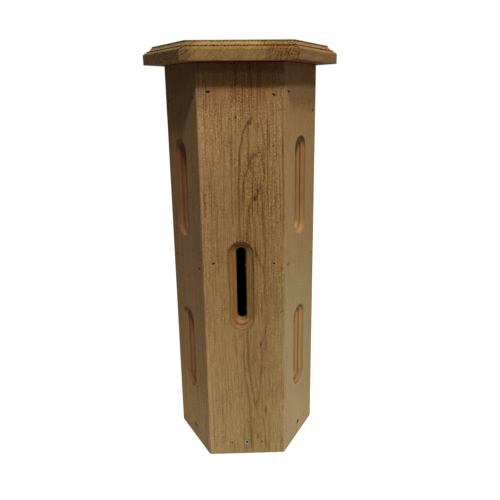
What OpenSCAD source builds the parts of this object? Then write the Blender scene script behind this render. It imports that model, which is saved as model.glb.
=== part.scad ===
// Butterfly house: six mitred boards stand round an empty chamber, a moulded roof board lies
// on their top ends, and a floor board is screwed and nailed between their bottom ends.
// Millimetres. The front faces -Y, +Z is up, and the origin is the middle of the footprint.

/* [Body] */
// Width of the front and back panels
front_w = 90; // [84:1:110]
// Width of each of the four side panels
side_w = 82; // [78:1:100]
// Thickness of the boards that the panels are cut from
board_t = 19; // [17:0.5:22]
// Height of the panels
body_h = 457; // [440:1:560]
// Width of the glue line between two panels
glue_line = 0.1; // [0.05:0.05:0.4]
// Width of the flat that eases each outer corner
ease = 0.8; // [0.3:0.1:1.6]

/* [Slots] */
// Width of a slot where it goes through
slot_w = 11; // [9:0.5:14]
// Height of a single or a lower slot where it goes through
slot_h = 88; // [60:1:92]
// Height of an upper slot where it goes through
upper_slot_h = 95; // [60:1:98]
// How far the slots stand to the left of the panel's middle line, seen from outside
slot_shift = 3; // [0:0.5:5]
// Height of the middle of a single slot above the ground
single_slot_z = 217.5; // [200:0.5:250]
// Height of the middle of a lower slot above the ground
lower_slot_z = 124.5; // [110:0.5:140]
// Distance from the top of the panels down to the middle of an upper slot
upper_slot_drop = 134; // [117:0.5:157]

/* [Moulding] */
// Width of the round at the foot of the moulding
bead_w = 3.6; // [2.5:0.1:4]
// Height of that round
bead_h = 2.8; // [2:0.1:3.4]
// How far the round swells out past a straight slope
bead_swell = 0.7; // [0.2:0.1:1]
// Height of the small step between the round and the hollow
quirk_h = 1.2; // [0.6:0.1:1.6]
// Width of the hollow
cove_w = 4.7; // [3.5:0.1:5.2]
// Height of the hollow
cove_h = 3.6; // [2.8:0.1:4.2]
// How far the hollow sinks in behind a straight slope
cove_sink = 0.9; // [0.2:0.1:1.2]
// Width of the narrow shelf at the top of the hollow
shelf_w = 0.8; // [0.4:0.1:1.2]
// Depth of the upper step in the roof's moulding
roof_lip = 1.6; // [0.8:0.1:2.4]
// Depth of the upper step in the slots' moulding
slot_lip = 0.6; // [0.3:0.1:1]

/* [Roof] */
// Thickness of the roof board
roof_t = 19.5; // [17:0.5:25]
// How far the roof stands out past the front and back panels
roof_front_lap = 17; // [13:0.5:30]
// How far the roof stands out past the side panels
roof_side_lap = 20; // [13:0.5:30]
// Gap that has opened between the front panel and the roof
front_gap = 0.8; // [0.2:0.1:1.2]
// Width of the chip at the top corner of the front right panel
chip_w = 6; // [3:0.5:8]
// Height of that chip
chip_h = 2.4; // [1:0.2:3]
// Depth of that chip
chip_d = 1.4; // [0.6:0.2:2]

/* [Floor] */
// Thickness of the floor board
floor_t = 19; // [16:0.5:25]
// How far the floor lies above the bottom ends of the panels
floor_recess = 6; // [3:0.5:12]
// Clearance between the floor and the panels
floor_gap = 0.3; // [0.1:0.05:0.5]

/* [Corner nails] */
// Diameter of a nail's shank
nail_d = 1.3; // [1:0.1:1.6]
// Diameter of a nail's head
nail_head_d = 2.2; // [2:0.1:2.6]
// Thickness of a nail's head
nail_head_t = 0.8; // [0.5:0.1:1.2]
// How deep the nails are set below the surface
nail_set = 1.2; // [0.6:0.1:2]
// Length of a nail's point
nail_tip = 2.4; // [1.6:0.2:3]
// Length of the nails through the corners
corner_nail_l = 22; // [18:1:25]
// Angle at which they are driven, from square to the panel towards its neighbour
corner_nail_lean = 40; // [34:1:44]
// Distance of these nails from the edges of the front and back panels
front_nail_inset = 11.5; // [9:0.5:13]
// Distance of these nails from the edges of the side panels
side_nail_inset = 9; // [8:0.5:12]
// Distance from the top of the panels down to the upper corner nails
upper_nail_drop = 31; // [25:1:57]
// Height of the middle corner nails above the ground
middle_nail_z = 245; // [225:1:260]
// How much lower the nails of every second panel are, so that they pass their neighbours
nail_stagger = 8; // [6:1:14]

/* [Floor and roof fasteners] */
// Length of the nails into the floor
floor_nail_l = 32; // [28:1:36]
// Distance between the two floor nails of a panel
floor_nail_span = 36; // [24:1:40]
// Length of the nails through the roof
roof_nail_l = 38; // [32:1:45]
// Length of the floor screws
screw_l = 32; // [28:1:38]
// Diameter of a screw's shank
screw_d = 3; // [2.5:0.1:3.5]
// Diameter of a screw's head
screw_head_d = 6; // [5.2:0.1:6.6]
// Height of the straight rim of the head
screw_rim = 0.3; // [0.2:0.1:0.5]
// Length of a screw's point
screw_tip = 5; // [4:0.5:7]
// Diameter of the countersink at the surface of the panel
sink_d = 8; // [7.8:0.1:9]
// Diameter of the bores in the side panels, at whose foot their screws lie
bore_d = 7; // [6.8:0.1:8]
// Depth of these bores
bore_h = 3; // [2:0.5:4]
// Width across the cross recess in a screw's head
recess_w = 3.4; // [2.6:0.1:3.8]
// Width of one arm of the cross recess
recess_arm = 0.9; // [0.6:0.1:1.1]
// Depth of the cross recess
recess_h = 1.3; // [0.8:0.1:1.6]
// Clearance round the nails and screws in their holes
hole_gap = 0.1; // [0.05:0.05:0.2]

/* [Hidden] */
panels = [0 : 5];
back = 3;
turn = 60;
eps = 1;
arc_steps = 6;
bore_fn = 24;
slot_fn = 72;

// How far the hand-driven corner nails of each panel stray from their height:
// upper left, upper right, middle left and middle right
nail_strays = [
    [2, -2, 0, -1], [9.5, -12, 3, -2], [1, -2, 2, -1],
    [-1, 2, 0, 1], [0, 1, -2, 1], [0, 4, 0, 0]
];

// How far the slots of each panel stray: to the right, a single or lower one up, an upper one up
slot_strays = [[0, -0.5, 0], [2, 1.5, 1], [0, 0, 0], [0, 0, 0], [0, 0, 0], [-2.5, -0.5, -1.5]];

// Distances from the middle to the outer faces of the body
front_face = side_w * sin(turn);
side_face = (front_w + side_w) / 2 * sin(turn);
mould_w = bead_w + cove_w + shelf_w;
roof_z = body_h;
floor_mid_z = floor_recess + floor_t / 2;
nail_mouth = 4;
screw_head_z = (sink_d - screw_head_d) / 2 - screw_rim - hole_gap * sqrt(2);

// Corners of a six-sided outline with all angles equal, from its front and side distances
function outline(front, side) =
    let (tip = side / sin(turn), flat = tip - front / tan(turn))
    [[flat, -front], [tip, 0], [flat, front], [-flat, front], [-tip, 0], [-flat, -front]];

// The two outer corners of one panel, the left one first as seen from outside
function panel_ends(k) =
    let (corners = outline(front_face, side_face))
    [corners[(k + 5) % 6], corners[k % 6]];
function panel_w(k) = (k % 3 == 0) ? front_w : side_w;
function panel_top(k) = (k == 0) ? body_h - front_gap : body_h;
function nail_inset(k) = (k % 3 == 0) ? front_nail_inset : side_nail_inset;

// Single slots and pairs of slots take turns round the house, and the back panel is plain
function slots(k) =
    let (stray = slot_strays[k], x = stray[0] - slot_shift)
    (k == back)
        ? []
        : (k % 2 == 0)
            ? [[x, single_slot_z + stray[1], slot_h]]
            : [
                [x, lower_slot_z + stray[1], slot_h],
                [x, body_h - upper_slot_drop + stray[2], upper_slot_h]
            ];

// How much deeper than flush the screw of a panel is driven
function screw_depth(k) = (k % 3 == 0) ? 0 : bore_h;

// Height of the left nail (side -1) or the right one (side 1) on the upper level 0 or middle 1
function nail_z(k, level, side) =
    [body_h - upper_nail_drop, middle_nail_z][level] - (k % 2) * nail_stagger
    + nail_strays[k][2 * level + (side + 1) / 2];

// Points of a bowed line from a to b without its ends; it bows to the left of its way
function bowed(a, b, bow) =
    let (along = b - a, across = [-along[1], along[0]] / norm(along))
    [for (i = [1 : arc_steps - 1])
        let (s = i / arc_steps) a + along * s + across * 4 * bow * s * (1 - s)];

// Moulding from the foot of the round at [0, -depth] up to the surface at [mould_w, 0]
function moulding(lip) =
    let (
        foot = [0, -lip - cove_h - quirk_h - bead_h],
        round_top = foot + [bead_w, bead_h],
        hollow_foot = round_top + [0, quirk_h],
        hollow_top = hollow_foot + [cove_w, cove_h]
    )
    concat(
        [foot], bowed(foot, round_top, bead_swell), [round_top, hollow_foot],
        bowed(hollow_foot, hollow_top, -cove_sink),
        [hollow_top, hollow_top + [shelf_w, 0], [mould_w, 0]]
    );

// Stands a child at a panel: x to the right as seen from outside, y into the wood, z up
module at_panel(k) {
    ends = panel_ends(k);
    middle = (ends[0] + ends[1]) / 2;
    translate([middle[0], middle[1], 0]) rotate([0, 0, turn * k]) children();
}

// Plan of one board: both edges are mitred and the outer corners are eased
module board_plan(w) {
    glue = glue_line / 2 / cos(turn / 2);
    half = w / 2 - glue;
    inner = half - board_t * tan(turn / 2);
    right = [[half - ease, 0], [half - ease / 4, ease * sin(turn) / 2], [inner, board_t]];
    left = [for (i = [2 : -1 : 0]) [-right[i][0], right[i][1]]];
    polygon(concat(right, left));
}

// Routed slot with its moulding, cut from the outer face inwards
module slot_cutter(h) {
    half = slot_w / 2;
    edge = [for (p = moulding(slot_lip)) [half + p[0], p[1]]];
    side = concat([[half, -board_t - eps]], edge, [[half + mould_w, eps]]);
    mirrored = [for (i = [len(side) - 1 : -1 : 0]) [-side[i][0], side[i][1]]];
    straight = h - slot_w;
    rotate([90, 0, 0]) {
        translate([0, straight / 2, 0])
            rotate([90, 0, 0]) linear_extrude(straight) polygon(concat(side, mirrored));
        for (end = [0, 1])
            translate([0, (end - 0.5) * straight, 0])
                rotate([0, 0, end * 180 - 180])
                    rotate_extrude(angle = 180, $fn = slot_fn)
                        polygon(concat([[0, -board_t - eps]], side, [[0, eps]]));
    }
}

// A nail or its hole: it is driven along +z from the origin at the surface
module nail(l) {
    head = nail_head_d / 2;
    shank = nail_d / 2;
    end = nail_set + l;
    rotate_extrude($fn = bore_fn)
        polygon([
            [0, nail_set], [head, nail_set], [head, nail_set + nail_head_t],
            [shank, nail_set + nail_head_t], [shank, end - nail_tip], [0, end]
        ]);
}

module nail_hole(l) {
    head = nail_head_d / 2 + hole_gap;
    translate([0, 0, -nail_mouth])
        cylinder(r = head, h = nail_mouth + nail_set + nail_head_t + hole_gap, $fn = bore_fn);
    cylinder(r = nail_d / 2 + hole_gap, h = nail_set + l + hole_gap, $fn = bore_fn);
}

module screw() {
    head = screw_head_d / 2;
    shank = screw_d / 2;
    neck = screw_rim + head - shank;
    translate([0, 0, screw_head_z]) difference() {
        rotate_extrude($fn = bore_fn)
            polygon([
                [0, 0], [head, 0], [head, screw_rim], [shank, neck],
                [shank, screw_l - screw_tip], [0, screw_l]
            ]);
        intersection() {
            translate([0, 0, -eps]) cylinder(r1 = recess_w, r2 = 0, h = recess_w, $fn = bore_fn);
            translate([0, 0, recess_h / 2 - eps / 2]) {
                cube([recess_w, recess_arm, recess_h + eps], center = true);
                cube([recess_arm, recess_w, recess_h + eps], center = true);
            }
        }
    }
}

// Hole for the screw of one panel: a countersink, at the foot of a bore where the screw is deep
module screw_hole(k) {
    shank = screw_d / 2 + hole_gap;
    foot = screw_depth(k) + sink_d / 2;
    end = screw_depth(k) + screw_head_z + screw_l + hole_gap;
    mouth = (screw_depth(k) == 0)
        ? [[sink_d / 2 + eps, -eps]]
        : [[bore_d / 2, -eps], [bore_d / 2, foot - bore_d / 2]];
    rotate_extrude($fn = bore_fn)
        polygon(concat([[0, -eps]], mouth, [[shank, foot - shank], [shank, end], [0, end]]));
}

// Drives a child into a panel at x and z, leaning towards +x by an angle
module driven(k, x, z, lean = 0) {
    at_panel(k) translate([x, 0, z]) rotate([0, 0, -lean]) rotate([-90, 0, 0]) children();
}

// The corner nails of one panel on one side, the right one for side = 1
module at_corner_nails(k, side) {
    x = side * (panel_w(k) / 2 - nail_inset(k));
    for (level = [0, 1])
        driven(k, x, nail_z(k, level, side), side * corner_nail_lean) children();
}

module at_floor_nails(k) {
    for (side = [-1, 1]) driven(k, side * floor_nail_span / 2, floor_mid_z) children();
}

module at_roof_nail(k) {
    at_panel(k) translate([0, board_t / 2, roof_z + roof_t]) rotate([180, 0, 0]) children();
}

// Splinter lost from the top right corner of the front right panel
module chip_cutter(k) {
    translate([panel_w(k) / 2 - chip_w, chip_d, body_h])
        rotate([90, 0, 0])
            linear_extrude(chip_d + eps)
                polygon([
                    [0, eps], [0, 0], [chip_w * 0.45, -chip_h * 0.6],
                    [chip_w + eps, -chip_h], [chip_w + eps, eps]
                ]);
}

module panel(k) {
    difference() {
        at_panel(k) difference() {
            linear_extrude(panel_top(k)) board_plan(panel_w(k));
            for (s = slots(k)) translate([s[0], 0, s[1]]) slot_cutter(s[2]);
            if (k == 1) chip_cutter(k);
        }
        at_corner_nails(k, 1) nail_hole(corner_nail_l);
        at_corner_nails(k, -1) nail_hole(corner_nail_l);
        at_corner_nails((k + 5) % 6, 1) nail_hole(corner_nail_l);
        at_corner_nails((k + 1) % 6, -1) nail_hole(corner_nail_l);
        at_floor_nails(k) nail_hole(floor_nail_l);
        driven(k, 0, floor_mid_z) screw_hole(k);
        at_roof_nail(k) nail_hole(roof_nail_l);
    }
}

module front_panel() { color("#c9a878") panel(0); }
module front_right_panel() { color("#c2ab80") panel(1); }
module back_right_panel() { color("#bfa274") panel(2); }
module back_panel() { color("#c9a878") panel(3); }
module back_left_panel() { color("#bfa274") panel(4); }
module front_left_panel() { color("#b39667") panel(5); }

// One pair of opposite roof edges, moulded along their whole length
module roof_pair(face, along) {
    edge = [for (p = moulding(roof_lip)) [face - p[0], roof_t + p[1]]];
    right = concat([[face - ease / 4, 0], [face, ease / 4]], edge);
    left = [for (i = [len(right) - 1 : -1 : 0]) [-right[i][0], right[i][1]]];
    rotate([90, 0, 90])
        linear_extrude(along, center = true) polygon(concat(right, left));
}

module roof_board() {
    front = front_face + roof_front_lap;
    side = side_face + roof_side_lap;
    along = 3 * max(front, side);
    color("#c4a06c") difference() {
        translate([0, 0, roof_z]) intersection() {
            roof_pair(front, along);
            rotate([0, 0, turn]) roof_pair(side, along);
            rotate([0, 0, -turn]) roof_pair(side, along);
        }
        for (k = panels) at_roof_nail(k) nail_hole(roof_nail_l);
    }
}

module floor_board() {
    inset = board_t + floor_gap;
    color("#b8976a") difference() {
        translate([0, 0, floor_recess])
            linear_extrude(floor_t) polygon(outline(front_face - inset, side_face - inset));
        for (k = panels) {
            at_floor_nails(k) nail_hole(floor_nail_l);
            driven(k, 0, floor_mid_z) screw_hole(k);
        }
    }
}

module corner_nails() {
    color("#6d6257") for (k = panels, side = [-1, 1]) at_corner_nails(k, side) nail(corner_nail_l);
}

module roof_nails() {
    color("#6d6257") for (k = panels) at_roof_nail(k) nail(roof_nail_l);
}

module floor_nails() {
    color("#6d6257") for (k = panels) at_floor_nails(k) nail(floor_nail_l);
}

module floor_screws() {
    color("#b9bcbd") for (k = panels)
        driven(k, 0, floor_mid_z) translate([0, 0, screw_depth(k)]) screw();
}

front_panel();
front_right_panel();
back_right_panel();
back_panel();
back_left_panel();
front_left_panel();
roof_board();
floor_board();
corner_nails();
roof_nails();
floor_nails();
floor_screws();
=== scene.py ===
"""Looks of the butterfly house: bare wood, steel, loose fibres, and the studio it stands in."""

import logging
import math
import random
from dataclasses import dataclass, field
from enum import Enum

import bmesh
import bpy
from mathutils import Matrix, Vector


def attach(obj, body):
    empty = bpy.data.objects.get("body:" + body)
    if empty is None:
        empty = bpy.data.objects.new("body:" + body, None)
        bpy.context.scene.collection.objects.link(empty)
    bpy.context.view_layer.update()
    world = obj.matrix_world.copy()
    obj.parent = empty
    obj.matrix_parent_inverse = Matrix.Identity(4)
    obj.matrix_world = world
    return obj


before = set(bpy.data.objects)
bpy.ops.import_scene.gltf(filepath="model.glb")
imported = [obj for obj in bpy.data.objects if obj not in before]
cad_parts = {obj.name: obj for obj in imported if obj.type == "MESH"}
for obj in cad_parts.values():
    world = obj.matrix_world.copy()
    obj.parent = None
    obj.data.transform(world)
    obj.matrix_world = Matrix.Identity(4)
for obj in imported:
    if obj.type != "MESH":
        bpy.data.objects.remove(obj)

MM = 0.001
ROOT = "root"

# The ring of panels, in millimetres and degrees: how far its front face and its side faces stand from
# the middle, how tall it is, and the turn from one panel to the next.
FRONT_FACE = 71.014
SIDE_FACE = 74.478
PANEL_HEIGHT = 457.0
PANEL_TURN = 60

log = logging.getLogger("butterfly_house")


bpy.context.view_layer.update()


@dataclass(frozen=True)
class Tone:
    """A colour as a paint chart writes it, each part from 0 to 255."""

    red: float
    green: float
    blue: float

    def linear(self) -> tuple[float, float, float, float]:
        """Returns the colour as a shader takes it.

        Returns:
            Red, green and blue from 0 to 1, and 1.
        """
        parts = [part / 255 for part in (self.red, self.green, self.blue)]
        light = [p / 12.92 if p <= 0.04045 else ((p + 0.055) / 1.055) ** 2.4 for p in parts]
        return (*light, 1.0)


WHITE = Tone(255, 255, 255)


class Coat(Enum):
    """How one colour lies on another."""

    COVER = "MIX"
    STAIN = "MULTIPLY"


class Signal:
    """A shader value that is added, multiplied and compared like a number."""

    def __init__(self, paint: "Paint", socket: bpy.types.NodeSocket) -> None:
        """Keeps the socket and the material that it belongs to.

        Args:
            paint: The material's node helper.
            socket: The output socket that holds the value.
        """
        self.paint = paint
        self.socket = socket

    def __add__(self, other: "Signal | float") -> "Signal":
        """Returns the sum."""
        return self.paint.math("ADD", self, other)

    def __sub__(self, other: "Signal | float") -> "Signal":
        """Returns the difference."""
        return self.paint.math("SUBTRACT", self, other)

    def __rsub__(self, other: float) -> "Signal":
        """Returns a number less this value."""
        return self.paint.math("SUBTRACT", other, self)

    def __mul__(self, other: "Signal | float") -> "Signal":
        """Returns the product."""
        return self.paint.math("MULTIPLY", self, other)

    def __truediv__(self, other: "Signal | float") -> "Signal":
        """Returns the quotient."""
        return self.paint.math("DIVIDE", self, other)

    __radd__ = __add__

    def span(self, low: float, high: float, top: float = 1.0) -> "Signal":
        """Returns a soft step, which falls where low is above high.

        Args:
            low: Value at which the step is 0.
            high: Value at which it has its full height.
            top: The step's full height.

        Returns:
            The step's height there.
        """
        node = self.paint.node("ShaderNodeMapRange", interpolation_type="SMOOTHSTEP")
        self.paint.put(node.inputs["Value"], self)
        node.inputs["From Min"].default_value = min(low, high)
        node.inputs["From Max"].default_value = max(low, high)
        node.inputs["To Min"].default_value = top if low > high else 0.0
        node.inputs["To Max"].default_value = 0.0 if low > high else top
        return Signal(self.paint, node.outputs[0])


class Paint:
    """Builds one material's shader nodes.

    A mix node has sockets for numbers and vectors too, so those of its share and its colours are
    told by their places.
    """

    mix_inputs = (0, 6, 7)
    mix_output = 2

    def __init__(self, name: str) -> None:
        """Starts a material with one Principled shader.

        Args:
            name: The material's name.
        """
        self.material = bpy.data.materials.new(name)
        self.material.use_nodes = True
        self.tree = self.material.node_tree
        self.shader = self.tree.nodes["Principled BSDF"]

    def node(self, kind: str, **settings: object) -> bpy.types.Node:
        """Adds a node.

        Args:
            kind: Blender's name for the kind of node.
            **settings: Properties to set on it.

        Returns:
            The new node.
        """
        made = self.tree.nodes.new(kind)
        for name, value in settings.items():
            setattr(made, name, value)
        return made

    def put(self, socket: bpy.types.NodeSocket, value: object) -> None:
        """Links a signal to a socket, or writes a plain value into it.

        Args:
            socket: The input socket.
            value: The signal or the plain value.
        """
        if isinstance(value, Signal):
            self.tree.links.new(value.socket, socket)
        else:
            socket.default_value = value

    def math(self, operation: str, *values: "Signal | float") -> Signal:
        """Returns the result of a math node.

        Args:
            operation: Blender's name for the operation.
            *values: What it works on.

        Returns:
            The result.
        """
        node = self.node("ShaderNodeMath", operation=operation)
        for socket, value in zip(node.inputs, values):
            self.put(socket, value)
        return Signal(self, node.outputs[0])

    def stretch(self, place: Signal, across: float, depth: float, along: float) -> Signal:
        """Returns a place with each direction measured in steps of its own length.

        Args:
            place: The place on the board, in millimetres.
            across: Length of a step across the board.
            depth: Length of a step into the board.
            along: Length of a step along the grain.

        Returns:
            The place in steps.
        """
        node = self.node("ShaderNodeVectorMath", operation="MULTIPLY")
        self.put(node.inputs[0], place)
        node.inputs[1].default_value = (1 / across, 1 / depth, 1 / along)
        return Signal(self, node.outputs[0])

    def parts(self, vector: Signal) -> tuple[Signal, Signal, Signal]:
        """Returns the three parts of a vector.

        Args:
            vector: The vector.

        Returns:
            Its first, second and third part.
        """
        node = self.node("ShaderNodeSeparateXYZ")
        self.put(node.inputs[0], vector)
        return tuple(Signal(self, socket) for socket in node.outputs)

    def place(self, first: Signal, second: Signal, third: "Signal | float") -> Signal:
        """Returns a vector made of three parts.

        Args:
            first: Its first part.
            second: Its second part.
            third: Its third part.

        Returns:
            The vector.
        """
        node = self.node("ShaderNodeCombineXYZ")
        for socket, value in zip(node.inputs, (first, second, third)):
            self.put(socket, value)
        return Signal(self, node.outputs[0])

    def noise(self, vector: Signal, detail: float = 1.0, roughness: float = 0.5) -> Signal:
        """Returns smooth noise with steps of about one unit.

        Args:
            vector: The place.
            detail: How many finer layers lie on it.
            roughness: How strong the finer layers are.

        Returns:
            The noise, from 0 to 1.
        """
        node = self.node("ShaderNodeTexNoise")
        self.put(node.inputs["Vector"], vector)
        node.inputs["Scale"].default_value = 1.0
        node.inputs["Detail"].default_value = detail
        node.inputs["Roughness"].default_value = roughness
        return Signal(self, node.outputs[0])

    def chance(self, value: Signal) -> Signal:
        """Returns a random number for each value.

        Args:
            value: The value.

        Returns:
            Its number, from 0 to 1.
        """
        node = self.node("ShaderNodeTexWhiteNoise", noise_dimensions="1D")
        self.put(node.inputs["W"], value)
        return Signal(self, node.outputs[0])

    def ramp(self, value: Signal, stops: list[tuple[float, Tone]]) -> Signal:
        """Returns a colour that changes with a value from 0 to 1.

        Args:
            value: Where on the ramp.
            stops: Each stop's place and colour.

        Returns:
            The colour.
        """
        node = self.node("ShaderNodeValToRGB")
        self.put(node.inputs[0], value)
        band = node.color_ramp
        while len(band.elements) < len(stops):
            band.elements.new(0.5)
        for element, (at, tone) in zip(band.elements, stops):
            element.position = at
            element.color = tone.linear()
        return Signal(self, node.outputs[0])

    def follow(self, value: Signal, knots: list[tuple[float, float]], straight: bool = False) -> Signal:
        """Returns a value that follows another one through knots, all from 0 to 1.

        Args:
            value: The value that is followed.
            knots: Pairs of that value and the one wanted there.
            straight: Whether it runs straight from knot to knot.

        Returns:
            The value wanted there.
        """
        node = self.node("ShaderNodeFloatCurve")
        curve = node.mapping.curves[0]
        knots = sorted(knots)
        curve.points[0].location, curve.points[-1].location = knots[0], knots[-1]
        for knot in knots[1:-1]:
            curve.points.new(*knot)
        for point in curve.points:
            point.handle_type = "VECTOR" if straight else "AUTO_CLAMPED"
        node.mapping.update()
        self.put(node.inputs["Value"], value)
        return Signal(self, node.outputs[0])

    def most(self, first: "Signal | None", second: Signal) -> Signal:
        """Returns the greater of two signals, or the second where there is no first."""
        return second if first is None else self.math("MAXIMUM", first, second)

    def oval(self, place: Signal, mark: "Mark") -> Signal:
        """Returns how far a place is from the middle of a mark.

        Args:
            place: The place on the board, in millimetres.
            mark: The mark, a slanting oval.

        Returns:
            The distance, where 1 is on the mark's rim.
        """
        node = self.node("ShaderNodeMapping", vector_type="TEXTURE")
        self.put(node.inputs["Vector"], place)
        node.inputs["Location"].default_value = (mark.across, 0.0, mark.along)
        node.inputs["Rotation"].default_value = (0.0, -math.radians(mark.lean), 0.0)
        node.inputs["Scale"].default_value = (mark.wide / 2, mark.reach, mark.tall / 2)
        length = self.node("ShaderNodeVectorMath", operation="LENGTH")
        self.put(length.inputs[0], Signal(self, node.outputs[0]))
        return Signal(self, length.outputs["Value"])

    def mix(
        self, share: "Signal | float", first: object, second: object, coat: Coat = Coat.COVER
    ) -> Signal:
        """Returns two colours mixed.

        Args:
            share: How much of the second colour.
            first: The colour underneath.
            second: The colour on top.
            coat: How the second one lies on the first.

        Returns:
            The mixed colour.
        """
        node = self.node("ShaderNodeMix", data_type="RGBA", blend_type=coat.value)
        for at, value in zip(self.mix_inputs, (share, first, second)):
            self.put(node.inputs[at], value)
        return Signal(self, node.outputs[self.mix_output])

    def stained(self, share: "Signal | float", colour: object, stain: Tone) -> Signal:
        """Returns a colour with a stain that darkens it by its own tone.

        Args:
            share: How much of the stain.
            colour: The colour underneath.
            stain: The stain's tone, where white changes nothing.

        Returns:
            The stained colour.
        """
        return self.mix(share, colour, self.mix(1.0, colour, stain.linear(), Coat.STAIN))

    def scaled(self, colour: Signal, gain: Signal) -> Signal:
        """Returns a colour made lighter or darker.

        Args:
            colour: The colour.
            gain: The factor.

        Returns:
            The colour times the factor.
        """
        node = self.node("ShaderNodeVectorMath", operation="SCALE")
        self.put(node.inputs[0], colour)
        self.put(node.inputs["Scale"], gain)
        return Signal(self, node.outputs[0])

    def relief(self, height: Signal, depth: float) -> None:
        """Gives the surface a fine relief.

        Args:
            height: The relief, from 0 to 1.
            depth: How high 1 stands, in millimetres.
        """
        node = self.node("ShaderNodeBump")
        node.inputs["Distance"].default_value = depth * MM
        self.put(node.inputs["Height"], height)
        self.tree.links.new(node.outputs[0], self.shader.inputs["Normal"])


@dataclass(frozen=True)
class BoardAxes:
    """A board's own directions and the point that they start from, in millimetres."""

    across: Vector
    depth: Vector
    along: Vector
    origin: Vector

    def place(self, paint: Paint) -> Signal:
        """Returns each point of the surface in the board's own directions.

        Args:
            paint: The material's node helper.

        Returns:
            Across, depth and along, in millimetres.
        """
        turn = Matrix((self.across, self.depth, self.along))
        where = paint.node("ShaderNodeTexCoord")
        node = paint.node("ShaderNodeMapping", vector_type="POINT")
        node.inputs["Scale"].default_value = (1 / MM,) * 3
        node.inputs["Rotation"].default_value = turn.to_euler("XYZ")
        node.inputs["Location"].default_value = -(turn @ self.origin)
        paint.tree.links.new(where.outputs["Object"], node.inputs["Vector"])
        return Signal(paint, node.outputs[0])

    def point(self, across: float, depth: float, along: float) -> Vector:
        """Returns a point of the board in the frame, in metres."""
        here = self.origin + self.across * across + self.depth * depth + self.along * along
        return here * MM


def behind_faces(paint: Paint) -> Signal:
    """Returns how far a point lies behind the outer faces of the ring of panels.

    Args:
        paint: The material's node helper.

    Returns:
        The depth, in millimetres.
    """
    where = paint.node("ShaderNodeTexCoord")
    right, back, _ = paint.parts(paint.stretch(Signal(paint, where.outputs["Object"]), MM, MM, MM))
    tilt = math.radians(PANEL_TURN)
    out = paint.math("ABSOLUTE", back) + (SIDE_FACE - FRONT_FACE)
    for side in (-1, 1):
        slant = right * math.sin(tilt) + back * (side * math.cos(tilt))
        out = paint.most(out, paint.math("ABSOLUTE", slant))
    return SIDE_FACE - out


@dataclass(frozen=True)
class Rings:
    """How the tree's rings lie in a board, in millimetres.

    The heart is the middle of the tree, outside the board's face. The rings show on the face as
    arches round arch_middle. They are fainter between the two places across in clear.
    """

    gap: float
    heart_across: float
    heart_depth: float
    arch_middle: float = 200.0
    arch_length: float = 113.0
    phase: float = 0.0
    wander: float = 5.0
    strength: float = 0.5
    strength_left: float = 0.0
    clear: tuple[float, float] = (0.0, 0.0)


@dataclass(frozen=True)
class Cells:
    """The cells of a noise: their size in millimetres, its finer layers, and the step that cuts marks."""

    across: float
    depth: float
    along: float
    detail: float = 1.0
    step: tuple[float, float] = (0.0, 1.0)


@dataclass(frozen=True)
class GrainLine:
    """One drawn line of late wood: its knots are heights and places across, in millimetres."""

    strength: float
    knots: tuple[tuple[float, float], ...]
    foot: float = 1.0


@dataclass(frozen=True)
class Mark:
    """A small mark: its place, its size and how far it rises to the right, in millimetres and degrees."""

    across: float
    along: float
    wide: float
    tall: float
    lean: float = 0.0
    strength: float = 0.8
    reach: float = 6.0


@dataclass(frozen=True)
class Saw:
    """The marks that the saw left: how far they rise to the right in degrees, and how strong they are."""

    lean: float
    strength: float
    spacing: float = 3.0
    length: float = 22.0


@dataclass(frozen=True)
class WoodFinish:
    """The finish of one board: its tones, its grain, its roughness and its marks.

    The tones go by the share of the span's height, the sides by the place across, the bands and the
    moulding by the depth. The strengths of the grain and of the roughness are 0 for none. Painted shade
    darkens the board behind its inner face, above the height from which it is covered, on its
    underside within the ring of panels, and in the screw bores near its foot. foot_shade holds a height
    and how much painted shade darkens a cut below it.
    """

    tones: tuple[tuple[float, Tone], ...]
    cut_tone: Tone
    rings: Rings
    seed: int = 0
    span: tuple[float, float] = (0.0, PANEL_HEIGHT)
    sides: tuple[tuple[float, Tone], ...] = ()
    half_width: float = 45.0
    bands: tuple[tuple[float, Tone], ...] = ()
    band_fuzz: float = 4.0
    late_tone: Tone = Tone(200, 178, 156)
    veins: float = 0.0
    grain_size: float = 1.3
    blotch_from: float = -400.0
    fibre: float = 0.45
    streak: float = 0.35
    grit: float = 0.6
    pits: float = 0.4
    flecks: float = 0.3
    swirl: float = 0.0
    pit_field: tuple[tuple[float, float], ...] = ((0.0, 1.0), (1.0, 1.0))
    pit_sides: tuple[float, float] = (1.0, 1.0)
    saw: tuple[Saw, ...] = (Saw(30, 0.12),)
    relief: float = 0.25
    lines: tuple[GrainLine, ...] = ()
    tears: tuple[Mark, ...] = ()
    stains: tuple[Mark, ...] = ()
    pale: tuple[Mark, ...] = ()
    blotches: float = 0.0
    cut_depth: tuple[float, float] = (0.25, 0.9)
    warm_above: float = 0.0
    warm_left: float = 0.0
    # Painted shade in the cut moulding: the quirk tone and the darker stops of the ramp below, at about 1 mm
    # and from about 9 mm deep, darken the profile's steps.
    quirk_shade_tone: Tone = Tone(178, 160, 142)
    moulding: tuple[tuple[float, Tone], ...] = (
        (0.0, WHITE), (0.7, Tone(232, 232, 232)), (1.5, Tone(236, 236, 236)),
        (2.0, WHITE), (4.0, WHITE), (5.5, WHITE),
        (8.4, Tone(250, 250, 250)), (9.2, Tone(232, 228, 222)), (10.2, Tone(240, 238, 236)),
        (19.0, Tone(240, 238, 236)),
    )
    # Painted shade: the fields below darken the screw bores at the foot, the slots' feet, the wood behind the
    # inner face, the ends under the roof and the underside within the ring of panels.
    hole_shade: float = 0.0
    foot_shade: tuple[float, float] = (0.0, 0.0)
    inner: float = 18.4
    inner_painted_shade: float = 0.12
    covered: float = 900.0
    under: float | None = None


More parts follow.
